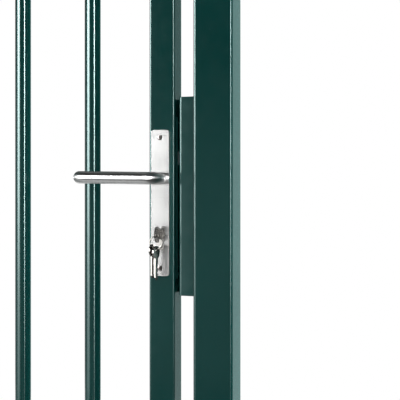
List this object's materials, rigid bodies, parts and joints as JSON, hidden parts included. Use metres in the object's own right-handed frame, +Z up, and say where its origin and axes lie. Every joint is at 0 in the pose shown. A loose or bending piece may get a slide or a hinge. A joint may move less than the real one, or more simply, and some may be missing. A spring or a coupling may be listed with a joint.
{
  "type": "steel garden gate",
  "caption": "Single garden gate of round bars in a square tube frame between two square posts, with a lever lock, profile cylinder with keys, and a folded keep.",
  "frame": {"origin": "middle of the flat underside of the lock post's base plate, at ground level", "axes": "+X from the hinge post to the lock post, +Y to the side that the leaf opens away from, +Z up"},
  "size_m": [1.292, 0.1586, 1.504],
  "materials": {
    "green_coat": "satin powder coat",
    "satin_steel": "satin",
    "zinc_steel": "satin",
    "case_steel": "satin",
    "nickel": "polished"
  },
  "bodies": {
    "posts": {"lock_post": "green_coat", "lock_post_foot": "green_coat", "lock_post_cap": "green_coat", "keep": "green_coat", "keep_stop": "green_coat", "hinge_post": "green_coat", "hinge_post_foot": "green_coat", "hinge_post_cap": "green_coat", "lower_hinge_lug": "green_coat", "lower_hinge_pin": "zinc_steel", "upper_hinge_lug": "green_coat", "upper_hinge_pin": "zinc_steel"},
    "leaf": {"hinge_stile": "green_coat", "hinge_stile_cap": "green_coat", "lock_stile": "green_coat", "lock_stile_cap": "green_coat", "top_rail": "green_coat", "bottom_rail": "green_coat", "bar_1": "green_coat", "bar_2": "green_coat", "bar_3": "green_coat", "bar_4": "green_coat", "bar_5": "green_coat", "bar_6": "green_coat", "bar_7": "green_coat", "lower_hinge_eye": "green_coat", "upper_hinge_eye": "green_coat", "lock_case": "case_steel", "face_plate": "green_coat", "front_plate": "satin_steel", "rear_plate": "satin_steel", "cylinder_body": "nickel", "rear_plug": "nickel"},
    "lever": {"front_lever": "satin_steel", "rear_lever": "satin_steel", "spindle": "zinc_steel"},
    "latch": {"latch_bolt": "zinc_steel"},
    "key_set": {"front_plug": "nickel", "key": "nickel", "key_ring": "nickel", "spare_key_1": "nickel", "spare_key_2": "nickel"},
    "dead": {"dead_bolt": "zinc_steel"}
  },
  "joints": [
    {"name": "gate_swing", "type": "hinge", "parent": "posts", "child": "leaf", "pos_m": [-1.087, 0, 0.06], "axis": [0, 0, -1], "range_deg": [0, 90]},
    {"name": "lever_turn", "type": "hinge", "parent": "leaf", "child": "lever", "pos_m": [-0.082, 0, 1.049], "axis": [0, -1, 0], "range_deg": [0, 40], "stiffness_Nm_per_rad": 3, "springref_deg": -20.05},
    {"name": "latch_slide", "type": "slide", "parent": "leaf", "child": "latch", "axis": [-1, 0, 0], "range_m": [0, 0.0135]},
    {"name": "dead_bolt_slide", "type": "slide", "parent": "leaf", "child": "dead", "axis": [1, 0, 0], "range_m": [0, 0.02]},
    {"name": "key_turn", "type": "hinge", "parent": "leaf", "child": "key_set", "pos_m": [-0.082, 0, 0.965], "axis": [0, 1, 0], "range_deg": [0, 360]}
  ],
  "couplings": [
    {"joint": "latch_slide", "follows": "lever_turn", "m_per_rad": 0.0186},
    {"joint": "key_turn", "follows": "dead_bolt_slide", "rad_per_m": 314.15}
  ]
}
